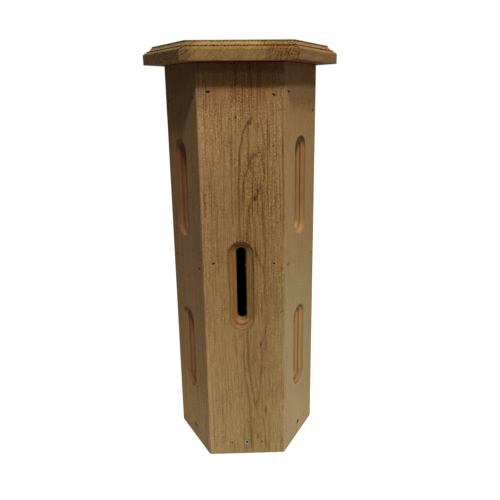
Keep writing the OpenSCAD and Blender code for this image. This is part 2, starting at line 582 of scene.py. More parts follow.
class Wood:
    """Bare softwood with rings, fibres, pits and saw marks that run through the board.

    Places, depths and heights are in millimetres. A pair says where a soft step begins and where it
    has its full height, so it falls where the first number is the greater one.
    """

    dark = Tone(30, 19, 12)
    line_tone = Tone(150, 116, 106)
    # Painted shade in the moulding's narrow grooves.
    pit_tone = Tone(128, 100, 84)
    groove_shade_tone = Tone(104, 64, 50)
    warm_tone = Tone(242, 230, 219)

    clouds = Cells(22, 22, 90, 2)
    ring_wander = Cells(38, 38, 150, 2)
    ring_shift = Cells(9, 9, 60, 2)
    ring_strength = Cells(7, 7, 40, 2)
    fibres = Cells(0.75, 0.75, 11)
    streaks = Cells(2.6, 2.6, 75)
    band_rims = Cells(1.3, 1.3, 1.6)
    line_ends = Cells(0.9, 0.9, 6)
    veins = Cells(1.15, 1.15, 60, step=(0.03, 0.12))
    blotches = Cells(1.7, 1.4, 1.7, step=(-0.06, 0.06))
    pits = Cells(1.0, 1.0, 1.6, step=(0.06, 0.2))
    flecks = Cells(1.1, 1.1, 1.7, step=(0.09, 0.21))
    rough_patches = Cells(22, 22, 50, step=(0.34, 0.6))
    saw_patches = Cells(26, 26, 44, step=(0.38, 0.62))

    late_rise, late_fall = (0.3, 0.9), (1.0, 0.93)
    beat_rise, beat_fall = (0.05, 0.45), (1.0, 0.6)
    clear_edge = 5.0
    curl_width, curl_turns, curl_length = 0.6, 2.6, 22.0
    lane_gap = 8.0
    line_width, line_core, line_rim, line_taper = 2.1, 0.2, 0.85, 3.5
    feather = 13.0
    dot_step = (-0.13, 0.07)
    mark_rim = (1.25, 0.6)
    saw_step, saw_depth = (0.56, 0.76), 30.0
    skin, first_cut = (0.05, 0.5), (0.0, 0.6)
    rough_left_to_right = (-20.0, 4.0)
    rings_right_to_left = (4.0, -3.0)
    deepest = 20.0
    # Depths of the moulding's quirk, where shade is painted.
    quirk_top, quirk_foot = (3.9, 4.5), (5.6, 5.1)
    warm_heights, warm_side = (285.0, 310.0), (-7.5, -10.5)
    # Painted shade in the grooves: how much of it lies at each depth.
    groove_shade_shares = (
        (0.0, 0.0), (0.2, 0.0), (0.6, 0.8), (1.4, 0.8), (1.8, 0.0),
        (4.5, 0.0), (5.0, 1.0), (6.1, 1.0), (6.6, 0.0), (20.0, 0.0),
    )
    blotch_edge, blotch_end = 8.0, (94.2, 93.4)
    # Painted shade in the screw bores: the depths of their walls and the heights below which they darken.
    hole_wall, dust_line = (0.3, 1.6), (24.0, 21.0)
    foot_edge, inner_edge, covered_edge, under_edge = 3.0, 0.6, 0.4, (0.4, 0.1)
    least_light = 0.02
    seed_step = (137.0, 61.0, 611.0)
    tone_wander, side_wander, blotch_wander = 0.12, 0.08, 40.0
    roughness, late_smooth, shine = 0.88, 0.12, 0.06

    def __init__(self, name: str, axes: BoardAxes, finish: WoodFinish) -> None:
        """Makes the material.

        Args:
            name: The material's name.
            axes: The board's own directions.
            finish: The board's finish.
        """
        self.finish = finish
        self.paint = Paint(name)
        self.place = axes.place(self.paint)
        self.across, self.depth, self.along = self.paint.parts(self.place)
        shift = self.paint.node("ShaderNodeVectorMath", operation="ADD")
        self.paint.put(shift.inputs[0], self.place)
        shift.inputs[1].default_value = tuple(step * finish.seed for step in self.seed_step)
        self.spot = Signal(self.paint, shift.outputs[0])
        self._build()

    def _cells(self, cells: Cells) -> Signal:
        """Returns noise from 0 to 1."""
        place = self.paint.stretch(self.spot, cells.across, cells.depth, cells.along)
        return self.paint.noise(place, cells.detail)

    def _noise(self, cells: Cells) -> Signal:
        """Returns noise about 0."""
        return self._cells(cells) - 0.5

    def _patches(self, cells: Cells) -> Signal:
        """Returns patches from 0 to 1, cut from noise from 0 to 1 by its own step."""
        return self._cells(cells).span(*cells.step)

    def _marks(self, cells: Cells) -> Signal:
        """Returns marks from 0 to 1, cut from noise about 0 by its own step."""
        return self._noise(cells).span(*cells.step)

    def _height(self) -> Signal:
        """Returns the height as a share of the board's span."""
        low, high = self.finish.span
        return (self.along - low) / (high - low)

    def _level(self) -> Signal:
        """Returns the depth as a share of the deepest one, shifted a little from spot to spot."""
        fuzz = self._noise(self.band_rims) * self.finish.band_fuzz
        return (self.depth + fuzz * self.depth.span(*self.first_cut)) / self.deepest

    def _by_depth(self, stops: tuple[tuple[float, object], ...]) -> list[tuple[float, object]]:
        """Returns pairs of a depth and something else with the depths as shares of the deepest one."""
        return [(depth / self.deepest, held) for depth, held in stops]

    def _rings(self) -> tuple[Signal, Signal, Signal]:
        """Works out the tree's rings.

        Returns:
            The late wood and the rings' beat from 0 to 1, and streaks about 0 that follow the rings.
        """
        paint, rings = self.paint, self.finish.rings
        side = self.across - rings.heart_across + self._noise(self.ring_wander) * rings.wander
        rise = (self.along - rings.arch_middle) / rings.arch_length
        front = self.depth + rings.heart_depth + rise * rise * rings.gap
        radius = paint.math("SQRT", side * side + front * front)
        count = radius / rings.gap + rings.phase + self._noise(self.ring_shift) * 0.5
        part = paint.math("FRACT", count)
        which = paint.chance(paint.math("FLOOR", count))
        late = part.span(*self.late_rise) * part.span(*self.late_fall) * (which * which * 1.2 + 0.2)
        late = late * (self._cells(self.ring_strength) * 1.7)
        low, high = rings.clear
        if high > low:
            edge = self.clear_edge
            inside = self.across.span(low - edge, low + edge) * self.across.span(high + edge, high - edge)
            late = late * (1.0 - inside)
        beat = part.span(*self.beat_rise) * part.span(*self.beat_fall)
        angle = paint.math("ARCTAN2", side, front)
        curl = paint.place(radius / self.curl_width, angle * self.curl_turns, self.along / self.curl_length)
        return late, beat, paint.noise(curl, 1) - 0.5

    def _lanes(self) -> list[list[GrainLine]]:
        """Sorts the drawn lines into lanes, which keeps the shader small.

        Returns:
            Groups of lines that lie one above the other.
        """
        lanes: list[list[GrainLine]] = []
        for line in sorted(self.finish.lines, key=lambda each: min(each.knots)):
            foot = min(line.knots)[0]
            free = [lane for lane in lanes if max(lane[-1].knots)[0] + self.lane_gap < foot]
            if free:
                free[0].append(line)
            else:
                lanes.append([line])
        return lanes

    def _drawn(self, ragged: Signal, dots: Signal) -> Signal:
        """Draws the grain lines.

        Args:
            ragged: A small shift to the side, in millimetres.
            dots: The share of each line that shows.

        Returns:
            The lines, from 0 to 1.
        """
        paint, (low, high), total = self.paint, self.finish.span, None
        half, wide, tall = self.finish.half_width, 2 * self.finish.half_width, high - low
        height = self._height() + self._noise(self.line_ends) * (self.feather / tall)
        here = (self.across + ragged + half) / wide
        for lane in self._lanes():
            path = [((z - low) / tall, (a + half) / wide) for line in lane for z, a in line.knots]
            shares = []
            for line in lane:
                foot, top = min(line.knots)[0], max(line.knots)[0]
                shares += [
                    (foot - self.line_taper, 0.0), (foot, line.strength * line.foot),
                    (top, line.strength), (top + self.line_taper, 0.0),
                ]
            shares = [(min(max((z - low) / tall, 0.0), 1.0), share) for z, share in shares]
            away = paint.math("ABSOLUTE", here - paint.follow(height, path))
            near = away.span(self.line_width * self.line_rim / wide, self.line_width * self.line_core / wide)
            total = paint.most(total, near * paint.follow(height, shares, straight=True))
        return total * dots

    def _ovals(self, marks: tuple[Mark, ...], ragged: Signal) -> Signal:
        """Draws a group of small marks.

        Args:
            marks: The marks.
            ragged: How uneven their rims are.

        Returns:
            The marks, from 0 to 1.
        """
        total = None
        for mark in marks:
            far = self.paint.oval(self.place, mark) + ragged
            total = self.paint.most(total, far.span(*self.mark_rim, mark.strength))
        return total

    def _sawn(self) -> Signal:
        """Draws the slanting marks of the saw.

        Returns:
            The marks, from 0 to 1.
        """
        paint, total = self.paint, None
        across, _, along = paint.parts(self.spot)
        for saw in self.finish.saw:
            turn = math.radians(saw.lean)
            ahead = across * math.cos(turn) + along * math.sin(turn)
            over = along * math.cos(turn) - across * math.sin(turn)
            place = paint.place(ahead / saw.length, over / saw.spacing, self.depth / self.saw_depth)
            total = paint.most(total, paint.noise(place, 1).span(*self.saw_step, saw.strength))
        return total * (self._patches(self.saw_patches) * 0.8 + 0.2)

    def _field(self) -> Signal:
        """Works out where the surface is rough, by height, by place across and from patch to patch.

        Returns:
            How much of the rough surface shows.
        """
        height = self._height()
        patch = self._patches(self.rough_patches) * 0.5 + 0.5
        return patch * self._sides() * self.paint.follow(height, list(self.finish.pit_field), straight=True)

    def _sides(self) -> Signal:
        """Returns how much of the rough surface shows at each place across."""
        left, right = self.finish.pit_sides
        return self.across.span(*self.rough_left_to_right) * (right - left) + left

    def _tone(self, cloud: Signal, cut: Signal) -> Signal:
        """Returns the wood's tone without its grain.

        Args:
            cloud: Slow change about 0.
            cut: The share of a cut face.

        Returns:
            The tone.
        """
        paint, finish, half = self.paint, self.finish, self.finish.half_width
        tone = paint.ramp(self._height() + cloud * self.tone_wander, list(finish.tones))
        if finish.sides:
            side = (self.across + half) / (2 * half) + cloud * self.side_wander
            stops = [((a + half) / (2 * half), t) for a, t in finish.sides]
            share = self.depth.span(*self.skin) if finish.bands else 1.0
            tone = paint.mix(share, tone, paint.ramp(side, stops), Coat.STAIN)
        # The bands by depth hold the wood's tone and painted light and shade of the moulding's faces.
        if finish.bands:
            bands = paint.ramp(self._level(), self._by_depth(finish.bands))
            tone = paint.mix(1.0, tone, bands, Coat.STAIN)
        # The moulding's tone by depth, with painted shade in its steps and in its quirk.
        worked = paint.ramp(self.depth / self.deepest, self._by_depth(finish.moulding))
        quirk = self.depth.span(*self.quirk_top) * self.depth.span(*self.quirk_foot)
        worked = paint.stained(quirk, worked, finish.quirk_shade_tone)
        if finish.warm_above or finish.warm_left:
            warm = self.along.span(*self.warm_heights, finish.warm_above)
            warm = warm + self.across.span(*self.warm_side, finish.warm_left)
            worked = paint.stained(warm, worked, self.warm_tone)
        return paint.mix(cut, tone, paint.mix(1.0, worked, finish.cut_tone.linear(), Coat.STAIN))

    def _groove_shade(self, tone: Signal, beat: Signal) -> Signal:
        """Paints shade into the moulding's narrow grooves, most where a ring crosses them.

        Args:
            tone: The wood's tone.
            beat: How near a ring's late wood is.

        Returns:
            The tone with its grooves.
        """
        share = self.paint.follow(self._level(), self._by_depth(self.groove_shade_shares), straight=True)
        dark = self.paint.mix(1.0, tone, self.groove_shade_tone.linear(), Coat.STAIN)
        return self.paint.mix(share * (beat * 0.7 + 0.3), tone, dark)

    def _spotted(self, cloud: Signal, beat: Signal) -> Signal:
        """Draws the dark blotches of one end of the board.

        Args:
            cloud: Slow change about 0.
            beat: How near a ring's late wood is.

        Returns:
            The blotches, from 0 to 1.
        """
        start, edge = self.finish.blotch_from, self.blotch_edge
        spots = self._marks(self.blotches) * (beat * 0.6 + 0.4)
        reach = (self.across + cloud * self.blotch_wander).span(start - edge, start + edge)
        reach = reach * self.across.span(*self.blotch_end) * (self.depth.span(*self.skin) * 0.85 + 0.15)
        return spots * reach * self.finish.blotches

    def _paint_shade(self, gain: Signal, cut: Signal) -> Signal:
        """Paints shade on the wood where little light comes in.

        Args:
            gain: How light the wood is.
            cut: The share of a cut face.

        Returns:
            How light it is with painted shade on the inner face, the holes, the slots' feet, the
            covered ends and the underside within the ring of panels.
        """
        finish, depth, along = self.finish, self.depth, self.along
        # Painted shade: the wood behind the inner face is darkened, as the inside of the house gets little
        # light.
        inner = depth.span(finish.inner - self.inner_edge, finish.inner)
        gain = gain * (1.0 - inner * (1 - finish.inner_painted_shade))
        # Painted shade on the walls of the screw bores near the foot.
        gain = gain * (1.0 - depth.span(*self.hole_wall) * along.span(*self.dust_line, finish.hole_shade))
        # Painted shade at the slots' feet: the cut is darkened below the given height.
        foot, shade = finish.foot_shade
        if shade:
            gain = gain * (1.0 - cut * along.span(foot + self.foot_edge, foot - self.foot_edge, shade))
        # Painted shade on the panels' top ends, in the narrow gap under the roof.
        gain = gain * (1.0 - along.span(finish.covered - self.covered_edge, finish.covered) * 0.9)
        # Painted shade on the underside within the ring of panels, where the inside of the house is dark.
        if finish.under is not None:
            begins, full = self.under_edge
            hidden = behind_faces(self.paint).span(*self.first_cut)
            hidden = hidden * depth.span(finish.under - begins, finish.under - full)
            gain = gain * (1.0 - hidden * 0.95)
        return gain

    def _build(self) -> None:
        """Puts the colour, the roughness and the relief together."""
        paint, finish, size = self.paint, self.finish, self.finish.grain_size
        cloud = self._noise(self.clouds)
        cut = self.depth.span(*finish.cut_depth)
        rough = 1.0 - cut * 0.75
        tone = self._tone(cloud, cut)
        late, beat, around = self._rings()
        small = self._noise(Cells(size, size, size * 1.3))
        dots = small.span(*self.dot_step) * 0.6 + 0.4
        fibre = self._noise(self.fibres) * finish.fibre + self._noise(self.streaks) * finish.streak
        if finish.swirl:
            fibre = fibre + around * finish.swirl
        left = self.across.span(*self.rings_right_to_left, finish.rings.strength_left)
        grain = late * (left * self.depth.span(*self.skin) + finish.rings.strength)
        if finish.veins:
            veins = self._marks(self.veins) * finish.veins
            grain = paint.most(grain, veins * dots * self._field())
        if finish.blotches:
            grain = paint.most(grain, self._spotted(cloud, beat))
            # Painted shade in the moulding's grooves.
            tone = self._groove_shade(tone, beat)
        tone = paint.stained(grain, tone, finish.late_tone)
        if finish.lines:
            drawn = paint.most(self._drawn(small * 0.8, dots), self._ovals(finish.stains, small * 1.2))
            tone = paint.stained(drawn, tone, self.line_tone)
        field = self._field() * rough
        pits = self._marks(self.pits) * field
        flecks = self._marks(self.flecks) * field
        sawn = self._sawn() * rough
        gain = 1.0 + fibre + small * (field * finish.grit) + cloud * 0.10 - sawn
        tone = paint.stained(pits * finish.pits, tone, self.pit_tone)
        gain = gain + flecks * finish.flecks
        if finish.pale:
            gain = gain + self._ovals(finish.pale, small)
        # Painted shade where little light comes in: inner faces, holes, slots' feet, covered ends and the
        # underside.
        gain = self._paint_shade(gain, cut)
        tone = paint.scaled(tone, paint.math("MAXIMUM", gain, self.least_light))
        height = fibre * 0.5 + (flecks - pits) * 0.8 - sawn * 1.5 - grain * 0.2
        if finish.tears:
            tears = self._ovals(finish.tears, small * 0.7)
            tone = paint.mix(tears, tone, self.dark.linear())
            height = height - tears
        paint.put(paint.shader.inputs["Base Color"], tone)
        paint.put(paint.shader.inputs["Roughness"], self.roughness - grain * self.late_smooth)
        paint.shader.inputs["Specular IOR Level"].default_value = self.shine
        paint.relief(height, finish.relief)


@dataclass(frozen=True)
class SteelFinish:
    """The finish of a fastener, with sizes in millimetres."""

    name: str
    bright: Tone
    dull: Tone
    roughness: float
    metallic: float
    # Painted shade: the depth from which the steel darkens, and the height and rim of the darkened middle of
    # the screw heads.
    shade_from: float = 0.5
    recess_height: float | None = None
    recess_shade_rim: tuple[float, float] = (1.9, 1.2)
    steel_shade_tone: Tone = Tone(20, 16, 13)
    spot_size: float = 0.9
    line_size: float = 0.3
    relief: float = 0.02

    def material(self) -> bpy.types.Material:
        """Makes steel with a drawn surface and dull spots, with painted shade where it lies deep in the wood
        and at the middle of each screw head, where its recess is.

        Returns:
            The material.
        """
        paint = Paint(self.name)
        where = paint.node("ShaderNodeTexCoord")
        place = Signal(paint, where.outputs["Object"])
        spots = paint.noise(paint.stretch(place, *(self.spot_size * MM,) * 3), 3, 0.6)
        lines = paint.noise(paint.stretch(place, *(self.line_size * MM,) * 3), 1)
        tone = paint.mix(spots.span(0.35, 0.7), self.bright.linear(), self.dull.linear())
        # Painted shade on steel deep in the wood and at the screw heads' recess.
        deep = behind_faces(paint).span(self.shade_from, self.shade_from + 0.5)
        if self.recess_height is not None:
            right, _, up = paint.parts(paint.stretch(place, MM, MM, MM))
            up = up - self.recess_height
            deep = paint.most(deep, paint.math("SQRT", right * right + up * up).span(*self.recess_shade_rim))
        tone = paint.mix(deep, tone, self.steel_shade_tone.linear())
        paint.put(paint.shader.inputs["Base Color"], tone)
        paint.shader.inputs["Metallic"].default_value = self.metallic
        paint.put(paint.shader.inputs["Roughness"], spots * 0.2 + deep * 0.3 + self.roughness)
        paint.relief(lines * 0.5 + spots * 0.5, self.relief)
        return paint.material


def dress(node: str, material: bpy.types.Material) -> None:
    """Gives a CAD node its material.

    Args:
        node: The node's name.
        material: What it is dressed in.
    """
    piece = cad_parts[node]
    piece.data.materials.clear()
    piece.data.materials.append(material)
    log.info("dressed %s in %s", node, material.name)


class Panel(Enum):
    """The six panels, counted from the front to the right."""

    FRONT = 0
    FRONT_RIGHT = 1
    BACK_RIGHT = 2
    BACK = 3
    BACK_LEFT = 4
    FRONT_LEFT = 5


@dataclass(frozen=True)
class PanelRing:
    """The six panels, which stand in a ring, with sizes in millimetres."""

    front_face: float = FRONT_FACE
    side_face: float = SIDE_FACE
    shifts: tuple[float, ...] = (0.0, 2.0, -2.0, 0.0, 2.0, -2.0)

    def axes(self, panel: Panel) -> BoardAxes:
        """Returns a panel's directions, as seen from outside.

        Args:
            panel: The panel.

        Returns:
            The directions, from a point of its face at the ground.
        """
        turn = math.radians(PANEL_TURN * panel.value)
        across = Vector((math.cos(turn), math.sin(turn), 0.0))
        depth = Vector((-math.sin(turn), math.cos(turn), 0.0))
        face = self.front_face if panel in (Panel.FRONT, Panel.BACK) else self.side_face
        origin = across * self.shifts[panel.value] - depth * face
        return BoardAxes(across, depth, Vector((0.0, 0.0, 1.0)), origin)

    def front(self) -> WoodFinish:
        """Chooses the front panel's finish.

        Returns:
            The finish, with its drawn grain, its stains and its torn spots.
        """
        return WoodFinish(
            seed=1,
            tones=(
                (0.0, Tone(154, 134, 91)), (0.3, Tone(155, 129, 86)), (0.55, Tone(154, 124, 79)),
                (0.72, Tone(159, 129, 85)), (0.88, Tone(172, 140, 94)), (1.0, Tone(150, 110, 71)),
            ),
            sides=(
                (-45, WHITE), (-34, Tone(244, 236, 226)), (-14, Tone(240, 233, 222)),
                (2, Tone(231, 220, 203)), (16, Tone(231, 220, 203)), (32, Tone(241, 233, 219)),
                (45, Tone(246, 243, 238)),
            ),
            cut_tone=Tone(141, 108, 63), warm_left=1.0, foot_shade=(171.0, 0.2), hole_shade=0.7,
            rings=Rings(3.6, 10.0, 16.0, phase=0.72, arch_middle=197.0, strength=0.3, clear=(-13.0, 26.0)),
            late_tone=Tone(184, 152, 130),
            veins=1.05, fibre=0.8, streak=0.1, grit=2.0, pits=0.9, flecks=0.5, grain_size=0.9,
            pit_field=((0.0, 0.65), (0.33, 0.55), (0.42, 0.8), (0.62, 0.85), (0.75, 1.0), (1.0, 1.0)),
            pit_sides=(0.85, 1.1),
            saw=(Saw(30, 0.26, 1.5, 3.2), Saw(-24, 0.1, 1.8, 9.0)),
            covered=456.2,
            lines=(
                GrainLine(0.9, (
                    (403, 10.6), (399, 8.6), (394, 5), (385, 1.3), (376, 0), (369, -1.9), (358, -2.6),
                    (347, -3.1), (310, -3.8), (285, -4.1), (272, -4.2),
                ), 0.5),
                GrainLine(0.5, ((403, 10.6), (399, 12.5), (394, 14), (390, 15.3))),
                GrainLine(0.5, (
                    (401, 19.5), (394, 21), (387, 21.9), (376, 23), (357, 23), (344, 23.8), (338, 23.2),
                )),
                GrainLine(0.9, (
                    (369, 18.5), (366.5, 16), (364.5, 12.5), (361, 9.8), (351, 6.9), (347, 5), (342.5, 3.1),
                    (338, 1.7), (332, 1.3), (318, 1.1), (304, 0.8),
                ), 0.4),
                GrainLine(0.5, ((369, 18.5), (366, 20), (357, 21.3), (348, 22.5), (342, 23.8))),
                GrainLine(0.9, (
                    (331, 19.4), (326, 16.9), (320, 15), (316, 13), (313, 9.6), (310, 7.5), (304, 6.2),
                    (297, 5.4), (285, 4.8), (271, 4.2),
                ), 0.6),
                GrainLine(0.5, (
                    (331, 19.4), (327, 20.5), (316, 20.6), (304, 21.3), (291, 22.3), (272, 23.1), (250, 23.6),
                    (237, 22.5), (229, 22.8), (216, 23.5),
                )),
                GrainLine(0.45, (
                    (216, 23.5), (205, 24.4), (192, 24.6), (174, 24.4), (164, 23.1), (157, 22.4), (150, 20),
                    (147, 17.6), (142, 18), (136, 19.3), (117, 19), (105, 17), (97, 16.6), (75, 15),
                    (69, 13.8), (63, 11.9),
                )),
                GrainLine(0.6, (
                    (164, 3), (155, 2.5), (149, 3.1), (124, 3.5), (112, 4.8), (105, 5.1), (95, 6.5),
                    (85, 8.1), (69, 10), (63, 11.9),
                )),
                GrainLine(0.5, (
                    (142, -1.3), (130, -1.9), (115, -1.2), (100, 0.2), (91, 1.3), (82, 2.3), (72, 3.5),
                    (55, 5), (35, 5.3), (11, 5.2), (3, 7.5),
                )),
                GrainLine(0.6, (
                    (263, 12.5), (258, 13.2), (253, 15.5), (247, 17), (241, 20), (236, 21.9), (229, 22.6),
                )),
                GrainLine(0.5, ((205, 12.8), (198, 13.4), (190, 13.2), (184, 13))),
                GrainLine(0.35, ((382, -11), (360, -11.3), (344, -11.5), (330, -11.2), (290, -10.8))),
                GrainLine(0.3, ((402, -5.6), (382, -6), (357, -7), (335, -7.6), (300, -7.2))),
                GrainLine(0.5, ((413, 42.4), (385, 42.6), (352, 43), (330, 43.4), (280, 43.8))),
                GrainLine(0.4, ((48, 19.8), (40, 20.5), (11, 22.4), (3, 20.6))),
                GrainLine(0.4, ((14, 26.8), (2, 26.9))),
                GrainLine(0.35, ((100, 27.6), (88, 27.4), (80, 27))),
            ),
            stains=(
                Mark(13, 317, 3, 5, 0, 1.0), Mark(11.5, 318, 1.5, 2, 0, 0.9), Mark(18, 146, 2.4, 8, 0, 0.9),
                Mark(4.4, 113, 2, 5, 0, 0.7), Mark(13.5, 24, 3, 8, 0, 0.6), Mark(23.3, 60, 2, 12, 0, 0.6),
                Mark(18.5, 366, 2.4, 1.8, 0, 0.9), Mark(9.5, 397, 2.6, 5, 20, 0.9),
                Mark(14, 256, 2, 5, 20, 0.7),
                Mark(8, 397.5, 4.4, 5, 45, 0.6), Mark(17.5, 394, 3, 8, 0, 0.4),
                Mark(14.5, 363.5, 4, 4, 40, 0.6),
                Mark(16.5, 325, 3.4, 7, 30, 0.6), Mark(12, 70, 3, 6, 0, 0.5), Mark(-28, 60, 2.6, 56, 0, 0.3),
                Mark(-28.5, 280, 3, 64, 0, 0.2),
            ),
            tears=(
                Mark(-32.2, 427.7, 4.2, 2.2, 30, 0.98), Mark(34.4, 424.2, 6.4, 2.1, -24, 0.98),
                Mark(-33.2, 245.6, 3.8, 1.8, 20, 0.85), Mark(33.4, 243.8, 4.8, 1.9, -40, 0.9),
                Mark(-5.6, 402.6, 1.8, 3, 0, 0.85), Mark(-11.9, 401, 1.6, 1.6, 0, 0.85),
                Mark(-11.9, 377, 1.8, 1.3, 0, 0.85),
                Mark(0.6, 417.3, 1.6, 1.4, 0, 0.85), Mark(-9.4, 413, 1.4, 2.4, 0, 0.6),
                Mark(-3.5, 338.8, 1.8, 1.8, 0, 0.85),
                Mark(32.5, 373, 1.6, 2.4, 0, 0.6), Mark(41, 409.5, 2, 1.4, 0, 0.6),
                Mark(38, 445, 1.4, 2.6, 0, 0.6),
                Mark(37, 291.5, 2.2, 1.2, 30, 0.6), Mark(-27.5, 395, 1.5, 1.5, 0, 0.5),
                Mark(-39.6, 426.2, 1.4, 1.3, 0, 0.7),
                Mark(32.6, 176.4, 2.2, 1.2, 20, 0.5),
            ),
            pale=(
                Mark(32.5, 178.8, 2.4, 1.5, 20, 0.35), Mark(34.5, 129, 2, 1.4, 0, 0.3),
                Mark(-36, 122, 6, 0.9, 40, 0.3), Mark(-32, 191, 2, 1.4, 0, 0.3),
                Mark(-5, 427, 30, 12, 0, 0.08), Mark(-6, 412, 12, 12, 0, 0.08),
            ),
        )

    def front_right(self) -> WoodFinish:
        """Chooses the front right panel's finish.

        Returns:
            The finish, with its torn spots.
        """
        return WoodFinish(
            seed=2,
            tones=(
                (0.0, Tone(155, 134, 99)), (0.35, Tone(159, 138, 100)), (0.55, Tone(155, 128, 89)),
                (0.8, Tone(157, 127, 84)), (1.0, Tone(159, 121, 78)),
            ),
            sides=(
                (-41, WHITE), (-12, Tone(255, 255, 253)), (12, Tone(247, 247, 242)),
                (41, Tone(242, 240, 232)),
            ),
            half_width=41.0,
            cut_tone=Tone(150, 115, 72), quirk_shade_tone=Tone(224, 214, 204),
            warm_above=1.0, foot_shade=(86.0, 0.25), hole_shade=0.7,
            rings=Rings(4.6, -70.0, 60.0, wander=8.0, strength=0.16),
            veins=0.2, fibre=0.4, streak=0.28, grit=0.9, pits=0.35, flecks=0.3,
            pit_field=((0.0, 0.6), (0.5, 0.6), (1.0, 1.0)),
            saw=(Saw(30, 0.22, 1.9, 22.0), Saw(-20, 0.1, 2.0, 14.0)),
            covered=456.6,
            tears=(
                Mark(-32, 427.5, 4.2, 2.6, 20, 0.9), Mark(32, 406, 4.2, 2.6, 20, 0.9),
                Mark(-32, 240, 3.6, 2.6, 0, 0.9), Mark(32, 235, 3.6, 2.6, 0, 0.9),
                Mark(-36.4, 127.3, 1.8, 1.6, 0, 0.9), Mark(-8, 420, 1.5, 1.4, 0, 0.6),
                Mark(5, 410, 1.4, 1.4, 0, 0.5),
                Mark(13, 399, 1.5, 1.4, 0, 0.6), Mark(27, 397, 1.5, 1.5, 0, 0.5),
                Mark(-15, 398, 1.4, 1.4, 0, 0.5),
            ),
        )

    def front_left(self) -> WoodFinish:
        """Chooses the front left panel's finish.

        Returns:
            The finish, with its torn and its pale spots.
        """
        return WoodFinish(
            seed=3,
            tones=(
                (0.0, Tone(155, 127, 84)), (0.2, Tone(153, 123, 81)), (0.5, Tone(146, 115, 76)),
                (0.75, Tone(149, 116, 77)), (1.0, Tone(144, 111, 72)),
            ),
            sides=(
                (-41, Tone(247, 238, 228)), (-28, Tone(251, 245, 238)), (8, Tone(255, 255, 252)),
                (41, Tone(249, 250, 249)),
            ),
            half_width=41.0,
            cut_tone=Tone(138, 101, 63), quirk_shade_tone=Tone(214, 204, 192),
            warm_above=1.0, foot_shade=(86.0, 0.22), hole_shade=0.7,
            rings=Rings(4.2, 75.0, 60.0, wander=8.0, strength=0.3),
            veins=0.3, fibre=0.4, streak=0.6, grit=0.6, pits=0.4, flecks=0.35,
            saw=(Saw(28, 0.3, 2.4, 18.0), Saw(-28, 0.1, 2.0, 10.0)),
            covered=456.6,
            tears=(
                Mark(-32, 418, 4.6, 2.6, 25, 0.9), Mark(32, 422, 4.6, 2.6, 25, 0.9),
                Mark(-32, 237, 4.2, 2.6, 25, 0.9), Mark(32, 237, 4.2, 2.6, 25, 0.9),
            ),
            pale=(
                Mark(31, 365.5, 4.4, 1.6, 12, 0.5), Mark(-30, 246, 2.4, 1.6, 0, 0.3),
                Mark(28, 343, 16, 1.4, 16, 0.2),
            ),
        )

    def hidden(self, panel: Panel) -> WoodFinish:
        """Chooses the finish of a panel at the back.

        Args:
            panel: The panel.

        Returns:
            The finish, with the wood torn round the panel's nails.
        """
        hearts = {
            Panel.BACK_RIGHT: (24.0, 26.0, 165.0), Panel.BACK: (-12.0, 20.0, 300.0),
            Panel.BACK_LEFT: (9.0, 32.0, 120.0),
        }
        nails = {
            Panel.BACK_RIGHT: ((-32, 427), (32, 424), (-32, 247.5), (32, 244.5)),
            Panel.BACK: ((-33, 417), (33, 420), (-33, 237.5), (33, 238.5)),
            Panel.BACK_LEFT: ((-32, 426), (32, 427), (-32, 243.5), (32, 246.5)),
        }
        across, deep, middle = hearts[panel]
        return WoodFinish(
            seed=3 + panel.value,
            tones=((0.0, Tone(153, 130, 94)), (0.5, Tone(155, 128, 90)), (1.0, Tone(153, 122, 82))),
            cut_tone=Tone(140, 105, 64), hole_shade=0.7,
            rings=Rings(3.9, across, deep, arch_middle=middle, phase=0.3 * panel.value, strength=0.6),
            veins=0.35, fibre=0.45, grit=0.9, pits=0.45,
            saw=(Saw(-34 if panel is Panel.BACK else 30, 0.16, 2.0, 18.0),),
            covered=456.6,
            tears=tuple(Mark(across, along, 4.2, 2.4, 15, 0.85) for across, along in nails[panel]),
        )

    def finish(self, panel: Panel) -> WoodFinish:
        """Chooses a panel's finish.

        Args:
            panel: The panel.

        Returns:
            The finish: the three panels in view have one of their own.
        """
        seen = {
            Panel.FRONT: self.front, Panel.FRONT_RIGHT: self.front_right,
            Panel.FRONT_LEFT: self.front_left,
        }
        return seen[panel]() if panel in seen else self.hidden(panel)

    def build(self) -> None:
        """Dresses the six panels."""
        for panel in Panel:
            name = f"{panel.name.lower()}_panel"
            dress(name, Wood(f"{name}_wood", self.axes(panel), self.finish(panel)).paint.material)


